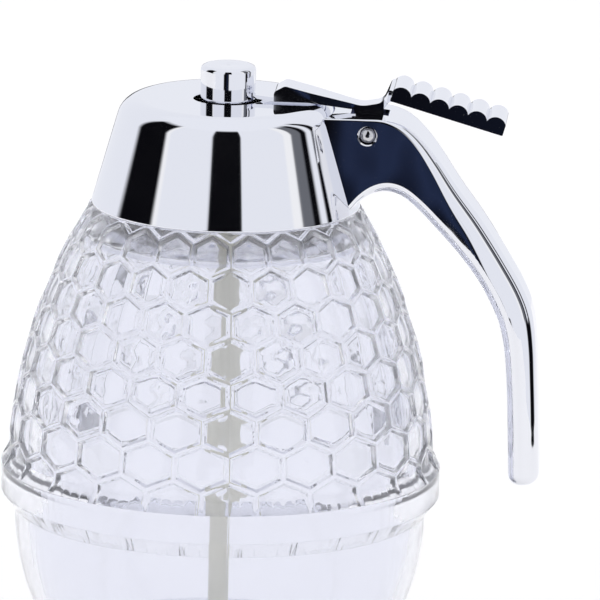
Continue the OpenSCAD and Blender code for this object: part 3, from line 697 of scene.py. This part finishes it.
def armOutline():
    # side view of the arm and its lug, heights over the lid's top, anticlockwise. The third
    # number of a point is its corner's rounding
    tip = knob["radius"] - lever["tongueIn"]
    front, low = lever["front"], -handle["drop"] / 2
    depth = pivot.z - lidTop
    lug = [Vector((pivot.x + lever["lugRadius"] * cos(a), depth + lever["lugRadius"] * sin(a)))
           for a in [radians(180 + 9 * k) for k in range(21)]]
    return (roundedLine([
        (tip, lever["tongueRise"]), (front, lever["armGap"]),
        (lid["top"] - lid["round"], lever["armGap"], 4),
        (pivot.x - lever["lugRadius"] - 1, low, 3), (pivot.x - lever["lugRadius"], low)])
        + lug + roundedLine([
            (pivot.x + lever["lugRadius"], low + 0.25), (padStart, lever["padRise"], 1),
            (padStart + 1.4, lever["padRise"] - 0.39),
            (padStart + 1.9, lever["padRise"] + 1.5),
            (padStart - 0.1, lever["padRise"] + lever["padThick"] + 0.2, 0.5),
            (pivot.x + 2.4, low + lever["waist"] + 0.6, 2.2),
            (pivot.x - 1.5, low + lever["waist"] - 0.15, 5),
            (front + 2.1, lever["armHeight"], 1.1), (front, lever["armHeight"] - 1.2, 1),
            (front, lever["tongueRise"] + lever["tongueThick"] - 0.2, 0.2),
            (tip, lever["tongueRise"] + lever["tongueThick"])]))


def leverPlan():
    # the arm from above: tongue, arm, waist over the pivot and the spread into the pad
    tip, corner = knob["radius"] - lever["tongueIn"], lever["padCorner"]
    half = [(tip, lever["tipWidth"] / 2), (lever["front"], lever["armWidth"] / 2),
            (lever["front"] + 7, lever["armWidth"] / 2),
            (pivot.x - lever["lugRadius"] - 1, lever["lugWidth"] / 2),
            (pivot.x + lever["lugRadius"], lever["lugWidth"] / 2),
            (padStart - corner / 2, lever["padWidth"] / 2 - corner),
            (padStart + corner / 2, lever["padWidth"] / 2), (padStart + 3, lever["padWidth"] / 2)]
    return half + [(x, -y) for x, y in reversed(half)]


def extruded(name, outline, place, low, high):
    # an outline drawn at one depth and pushed through to another
    bm = bmesh.new()
    face = bm.faces.new([bm.verts.new(place(u, v, low)) for u, v in outline])
    made = bmesh.ops.extrude_face_region(bm, geom=[face])["geom"]
    bmesh.ops.translate(bm, verts=[g for g in made if isinstance(g, bmesh.types.BMVert)],
                        vec=Vector(place(0, 0, high)) - Vector(place(0, 0, low)))
    bmesh.ops.recalc_face_normals(bm, faces=bm.faces)
    return looseObject(name, bm)


def padOutline():
    # the pad along its own slope: flat below, a row of half-round ridges above
    r, pitch = lever["ridgeRadius"], lever["pitch"]
    centreRise = lever["ridgeHeight"] - r
    first = (lever["padLength"] - pitch * (lever["ridges"] - 1)) / 2
    valley = sqrt(r ** 2 - (pitch / 2) ** 2)
    endAngle = atan2(sqrt(r ** 2 - first ** 2) if first < r else 0, first)
    length, edge = lever["padLength"], lever["padEdge"]
    outline = [(edge, 0), (length - edge, 0), (length, edge)]
    dip = atan2(valley, pitch / 2)
    for k in reversed(range(lever["ridges"])):
        start = endAngle if k == lever["ridges"] - 1 else dip
        end = pi - (endAngle if k == 0 else dip)
        for n in range(15):
            a = start + (end - start) * n / 14
            outline.append((first + pitch * k + r * cos(a), centreRise + r * sin(a)))
    outline.append((0, edge))
    return outline


def makeLever():
    slope, half = radians(lever["padSlope"]), lever["padWidth"] / 2

    def onSide(x, z, y):
        return (x * mm, y * mm, (lidTop + z) * mm)

    def onPad(x, z, y):
        return ((padStart + x * cos(slope) + z * sin(slope)) * mm, y * mm,
                (lidTop + lever["padRise"] - x * sin(slope) + z * cos(slope)) * mm)

    arm = extruded("leverArm", armOutline(), onSide, -half, half)
    plan = extruded("plan", leverPlan(), lambda x, y, z: (x * mm, y * mm, z * mm),
                    lidRim, lidTop + 20)
    combine(arm, [plan], "INTERSECT")
    combine(arm, [crossBar(handle["pinRadius"] + lever["boreFit"], 2 * lever["lugWidth"])],
            "DIFFERENCE")
    combine(arm, [extruded("pad", padOutline(), onPad, -half, half)], "UNION")
    soften = arm.modifiers.new("edges", "BEVEL")
    soften.width = lever["softEdge"] * mm
    soften.segments = 2
    soften.limit_method = "ANGLE"
    soften.angle_limit = radians(50)
    return dress(arm, chrome, "lever", ("lever",), 40)


leverPiece = makeLever()
print("lever", len(leverPiece.data.polygons), "faces")


def makeKnob():
    top = lidTop + knob["up"]
    low = lidTop - knob["down"]
    cap = looseObject("knobCap", lathe(roundedLine([
        (0, top), (0.4, top), (0.55, top - knob["gateDip"]), (1.0, top),
        (knob["radius"], top, knob["round"]), (knob["radius"], low, 0.2), (0, low)], 8),
        128, False))
    # the pocket that the lever's tongue reaches into, open at the side
    tip = knob["radius"] - lever["tongueIn"]
    half = lever["tipWidth"] / 2 + knob["pocketSide"]
    tongueLow = lidTop + lever["tongueRise"]
    combine(cap, [block((tip - knob["pocketBack"], -half, tongueLow - knob["pocketLow"]),
                        (tip + knob["radius"], half,
                         tongueLow + lever["tongueThick"] + knob["pocketHigh"]))], "DIFFERENCE")
    return dress(cap, chrome, "plunger", ("knob",))


makeKnob()

rod = {"radius": 1.95, "collar": 3, "collarHeight": 1.2, "intoKnob": 4}


def makeRod():
    # a plain rod with a moulded collar that the spring's retainer rests on
    low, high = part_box("plunger_rod")[0].z / mm, lidTop + rod["intoKnob"]
    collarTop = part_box("spring_retainer")[0].z / mm
    collarLow = collarTop - rod["collarHeight"]
    r = rod["radius"]
    bm = lathe(roundedLine([
        (0, low), (r, low, 0.3), (r, collarLow, 0.3), (rod["collar"], collarLow, 0.3),
        (rod["collar"], collarTop, 0.1), (r, collarTop, 0.1), (r, high), (0, high)], 4),
        64, False)
    return dress(looseObject("pushRod", bm), rodPlastic, "plunger",
                 ("plunger_rod",))


makeRod()

spring = {"wire": 0.8, "turns": 5, "stepsPerTurn": 36, "travel": 3.1}


def makeSpring():
    # one unbroken wire that rides on the lid
    low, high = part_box("return_spring")[0].z / mm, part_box("return_spring")[1].z / mm
    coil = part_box("return_spring")[1].x / mm - spring["wire"] / 2
    rise = high - low - spring["wire"]
    steps = spring["turns"] * spring["stepsPerTurn"]
    bm = bmesh.new()
    bmesh.ops.create_circle(bm, cap_ends=False, segments=14, radius=spring["wire"] / 2 * mm,
                            matrix=Matrix.Translation(Vector((coil, 0, low + spring["wire"] / 2))
                                                      * mm) @ Matrix.Rotation(pi / 2, 4, "X"))
    bmesh.ops.spin(bm, geom=bm.verts[:] + bm.edges[:], angle=2 * pi * spring["turns"],
                   steps=steps, axis=(0, 0, 1), cent=(0, 0, 0), dvec=(0, 0, rise / steps * mm))
    bmesh.ops.holes_fill(bm, edges=[e for e in bm.edges if e.is_boundary])
    bmesh.ops.recalc_face_normals(bm, faces=bm.faces)
    wire = dress(looseObject("returnSpring", bm), steel, "lid", ("return_spring",), 60)
    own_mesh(wire)


makeSpring()

for node, material in {"threaded_liner": linerPlastic, "lid_seal": silicone,
                       "handle_screws": steel, "spring_retainer": rodPlastic,
                       "stopper": silicone}.items():
    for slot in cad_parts[node].material_slots:
        slot.material = material
print("plunger")


# What bright metal sees of the studio, by degrees to the right of the camera: black cloth
# round the camera, at the sides and low behind, pale walls, and white strip lamps
black, navy, wall, lamp, grey = "#0B0B0F", "#26304B", "#F3F5FB", "#FFFFFF", "#6E7076"
studioHigh = [(-180, wall), (-107, wall), (-101, black), (-68, black), (-65, lamp), (-62.5, lamp),
              (-61, wall), (-16, wall), (-14, black), (14, black), (15.5, wall), (61, wall),
              (62.5, lamp), (70, lamp), (72, grey), (82, grey), (84, black), (89, black),
              (92, wall), (97, wall), (99.5, black), (105, black), (107, wall), (180, wall)]
studioLow = [(-180, black), (-172, black), (-170, wall), (-107, wall), (-101, black),
             (-68, black), (-62, wall), (-20, wall), (-17, black), (-6.1, black), (-4.5, navy),
             (-1, black), (2, black), (4, wall), (74, wall), (79, black), (104, black), (112, wall),
             (171, wall), (173, black), (180, black)]
horizonBlend = 0.03               # the sine of the angle over which low bands turn to high ones
ceilingFrom, ceilingTo = 48, 56   # degrees up, where the walls turn into the pale ceiling
glassContrast = 0.16              # how much of the bands light carries through clear walls

# fitted to the photograph: a long lens, turned slightly towards the handle, with a small roll
view = {"azimuth": 3.7, "elevation": 13.47, "roll": 1.25, "distance": 2000, "lens": 621,
        "sensor": 36, "target": Vector((14.67, 0.95, lidTop - 39.7))}


def bandRamp(tree, turn, bands):
    ramp = addNode(tree, "ShaderNodeValToRGB", None, {"Fac": (turn, "Value")})
    elements = ramp.color_ramp.elements
    while len(elements) < len(bands):
        elements.new(0.5)
    for element, (angle, tint) in zip(elements, bands):
        element.position = 0.5 + angle / 360
        element.color = colour(tint)
    return ramp


def makeWorld():
    # plain white to the eye and as light. Gloss sees the bands of the studio instead, and what
    # shines through clear walls a share of them
    world = bpy.data.worlds.new("studio")
    bpy.context.scene.world = world
    world.use_nodes = True
    tree = world.node_tree
    tree.nodes.clear()
    place = addNode(tree, "ShaderNodeTexCoord")
    axes = addNode(tree, "ShaderNodeSeparateXYZ", None, {"Vector": (place, "Generated")})
    forward = addNode(tree, "ShaderNodeMath", {"operation": "MULTIPLY", 1: -1}, {0: (axes, "Y")})
    bearing = addNode(tree, "ShaderNodeMath", {"operation": "ARCTAN2"},
                      {0: (axes, "X"), 1: (forward, "Value")})
    share = addNode(tree, "ShaderNodeMath",
                    {"operation": "MULTIPLY_ADD", 1: 1 / (2 * pi),
                     2: 0.5 - view["azimuth"] / 360},
                    {0: (bearing, "Value")})
    turn = addNode(tree, "ShaderNodeMath", {"operation": "FRACT"}, {0: (share, "Value")})
    rise = addNode(tree, "ShaderNodeMapRange",
                   {"From Min": -horizonBlend, "From Max": horizonBlend}, {"Value": (axes, "Z")})
    walls = addNode(tree, "ShaderNodeMixRGB", None,
                    {"Fac": (rise, "Result"), "Color1": (bandRamp(tree, turn, studioLow), "Color"),
                     "Color2": (bandRamp(tree, turn, studioHigh), "Color")})
    ceiling = {"From Min": sin(radians(ceilingFrom)), "From Max": sin(radians(ceilingTo))}
    overhead = addNode(tree, "ShaderNodeMapRange", ceiling, {"Value": (axes, "Z")})
    studio = addNode(tree, "ShaderNodeMixRGB", {"Color2": colour("#F6F8FE")},
                     {"Fac": (overhead, "Result"), "Color1": (walls, "Color")})
    rays = addNode(tree, "ShaderNodeLightPath")
    throughGlass = addNode(tree, "ShaderNodeMath", {"operation": "MINIMUM", 1: 1},
                           {0: (rays, "Transmission Depth")})
    contrast = addNode(tree, "ShaderNodeMath",
                       {"operation": "MULTIPLY_ADD", 1: glassContrast - 1, 2: 1},
                       {0: (throughGlass, "Value")})
    seen = addNode(tree, "ShaderNodeMath", {"operation": "MULTIPLY"},
                   {0: (contrast, "Value"), 1: (rays, "Is Glossy Ray")})
    shown = addNode(tree, "ShaderNodeMixRGB", {"Color1": (1, 1, 1, 1)},
                    {"Fac": (seen, "Value"), "Color2": (studio, "Color")})
    light = addNode(tree, "ShaderNodeBackground", {"Strength": 1.0}, {"Color": (shown, "Color")})
    addNode(tree, "ShaderNodeOutputWorld", None, {"Surface": (light, "Background")})


table = {"size": 8000, "drop": 0.05, "colour": "#F4F4F6", "rough": 0.6, "glow": 0.12,
         "paperFront": -430, "paperRight": 400, "paperBack": 620}


def makeFloor():
    # a wide white table. Bright metal and clear walls see only the sheet of paper that lies on
    # it, which ends in front of the object, to its right and behind it, and then the studio
    bm = bmesh.new()
    bmesh.ops.create_grid(bm, x_segments=1, y_segments=1, size=table["size"] / 2 * mm,
                          matrix=Matrix.Translation((0, 0, -table["drop"] * mm)))
    floorPiece = looseObject("table", bm)
    material, tree, shader = newMaterial("whitePaper")
    shader.inputs["Base Color"].default_value = colour(table["colour"])
    shader.inputs["Roughness"].default_value = table["rough"]
    shader.inputs["Emission Color"].default_value = (1, 1, 1, 1)
    shader.inputs["Emission Strength"].default_value = table["glow"]
    place = addNode(tree, "ShaderNodeTexCoord")
    axes = addNode(tree, "ShaderNodeSeparateXYZ", None, {"Vector": (place, "Object")})
    past = None
    for axis, operation, edge in (("Y", "LESS_THAN", table["paperFront"]),
                                  ("X", "GREATER_THAN", table["paperRight"]),
                                  ("Y", "GREATER_THAN", table["paperBack"])):
        beyond = addNode(tree, "ShaderNodeMath", {"operation": operation, 1: edge * mm},
                         {0: (axes, axis)})
        past = beyond if past is None else addNode(
            tree, "ShaderNodeMath", {"operation": "MAXIMUM"}, {0: (past, "Value"),
                                                               1: (beyond, "Value")})
    rays = addNode(tree, "ShaderNodeLightPath")
    gone = addNode(tree, "ShaderNodeMath", {"operation": "MULTIPLY"},
                   {0: (past, "Value"), 1: (rays, "Is Glossy Ray")})
    clear = addNode(tree, "ShaderNodeBsdfTransparent")
    either = addNode(tree, "ShaderNodeMixShader", None,
                     {0: (gone, "Value"), 1: (shader, "BSDF"), 2: (clear, "BSDF")})
    tree.links.new(either.outputs[0], tree.nodes["Material Output"].inputs["Surface"])
    floorPiece.data.materials.append(material)


def makeCamera():
    a, e, roll = (radians(view[key]) for key in ("azimuth", "elevation", "roll"))
    back = Vector((sin(a) * cos(e), -cos(a) * cos(e), sin(e)))
    right = Vector((cos(a), sin(a), 0))
    up = back.cross(right)
    tilted = right * cos(roll) + up * sin(roll)
    upright = up * cos(roll) - right * sin(roll)
    data = bpy.data.cameras.new("camera")
    data.lens = view["lens"]
    data.sensor_width = view["sensor"]
    data.clip_start, data.clip_end = 0.1, 20
    camera = bpy.data.objects.new("camera", data)
    bpy.context.scene.collection.objects.link(camera)
    place = Matrix((tilted, upright, back)).transposed().to_4x4()
    place.translation = (view["target"] + back * view["distance"]) * mm
    camera.matrix_world = place
    bpy.context.scene.camera = camera


makeWorld()
makeFloor()
makeCamera()
bpy.context.scene.view_settings.view_transform = "Standard"
# light finds its way out of the relief in the clear walls only after many turns
cycles = bpy.context.scene.cycles
cycles.max_bounces, cycles.transmission_bounces, cycles.glossy_bounces = 32, 32, 16
print("studio ready")
